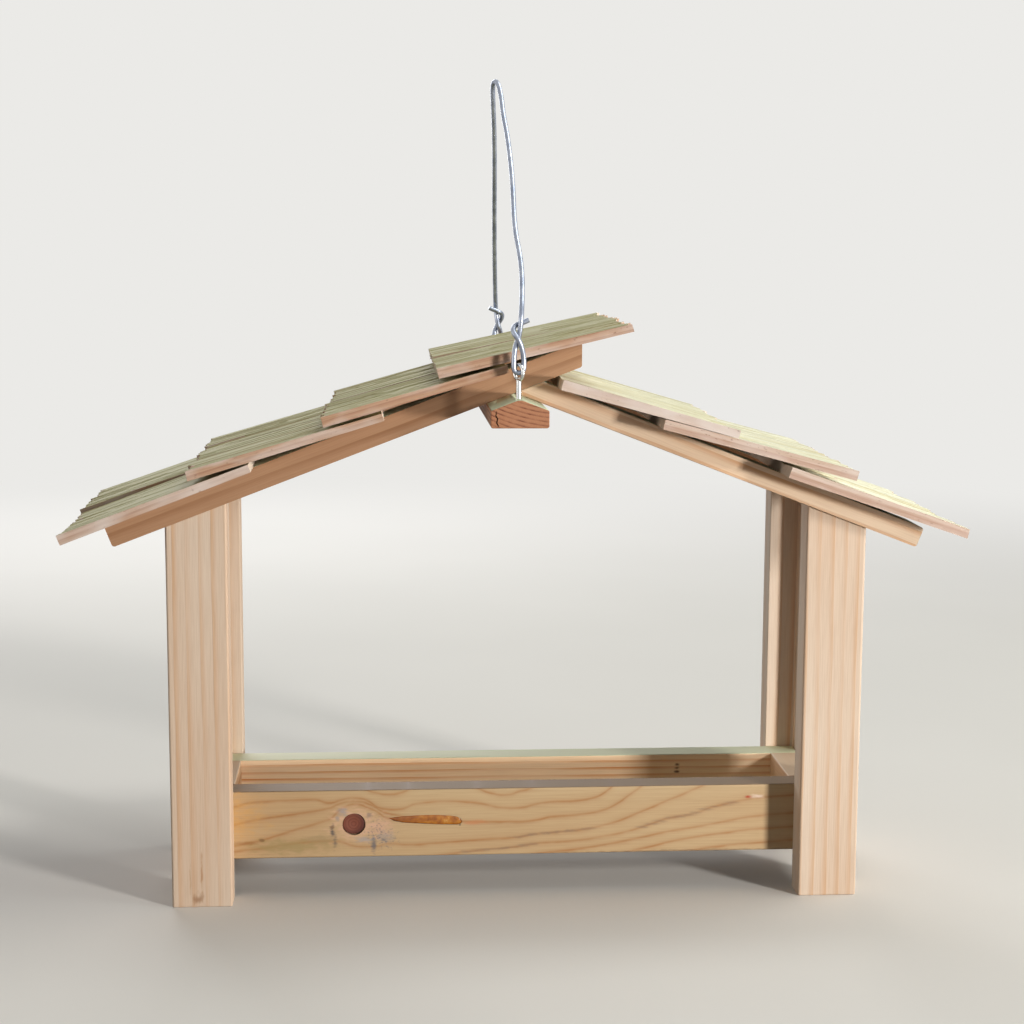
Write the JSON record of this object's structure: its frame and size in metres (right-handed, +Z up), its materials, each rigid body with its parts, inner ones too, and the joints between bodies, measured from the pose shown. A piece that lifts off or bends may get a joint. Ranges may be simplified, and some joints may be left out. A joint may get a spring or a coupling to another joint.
{
  "type": "hanging bird table",
  "caption": "Open hanging bird feeder in pine: a shallow tray between L-section corner posts, under a chalet roof of lapped shingles, with a bent wire bail in screw eyes.",
  "frame": {"origin": "on the ground, under the middle of the bounding box", "axes": "+X along the tray to the right, +Y from front to back, +Z up"},
  "size_m": [0.5607, 0.236, 0.5224],
  "materials": {
    "post_pine": "planed, bare",
    "rail_pine": "planed, bare",
    "floor_pine": "planed, bare",
    "rafter_pine": "sawn, bare",
    "beam_pine": "planed, bare",
    "shingle_pine": "riven, greenish impregnation",
    "zinc_steel": "zinc plated",
    "nail_steel": "bright steel",
    "galvanised_wire": "galvanised"
  },
  "bodies": {
    "house": {"front_left_post": "post_pine", "front_right_post": "post_pine", "back_left_post": "post_pine", "back_right_post": "post_pine", "front_rail": "rail_pine", "back_rail": "rail_pine", "left_end_rail": "rail_pine", "right_end_rail": "rail_pine", "tray_floor": "floor_pine", "front_left_rafter": "rafter_pine", "front_right_rafter": "rafter_pine", "back_left_rafter": "rafter_pine", "back_right_rafter": "rafter_pine", "ridge_beam": "beam_pine", "left_shingle_1_front": "shingle_pine", "left_shingle_1_back": "shingle_pine", "left_shingle_2_front": "shingle_pine", "left_shingle_2_back": "shingle_pine", "left_shingle_3_front": "shingle_pine", "left_shingle_3_back": "shingle_pine", "left_shingle_4_front": "shingle_pine", "left_shingle_4_back": "shingle_pine", "right_shingle_1_front": "shingle_pine", "right_shingle_1_back": "shingle_pine", "right_shingle_2_front": "shingle_pine", "right_shingle_2_back": "shingle_pine", "right_shingle_3_front": "shingle_pine", "right_shingle_3_back": "shingle_pine", "front_screw_eye": "zinc_steel", "back_screw_eye": "zinc_steel", "shingle_nails": "nail_steel", "rafter_nails": "nail_steel", "post_nails": "nail_steel", "tray_corner_nails": "nail_steel", "floor_nails": "nail_steel", "ridge_nails": "nail_steel"},
    "hanger": {"hanger_wire": "galvanised_wire"}
  },
  "joints": [
    {"name": "hanger_swing", "type": "hinge", "parent": "house", "child": "hanger", "pos_m": [-0.004, 0, 0.3469], "axis": [0, 1, 0], "range_deg": [-83, 58]}
  ]
}
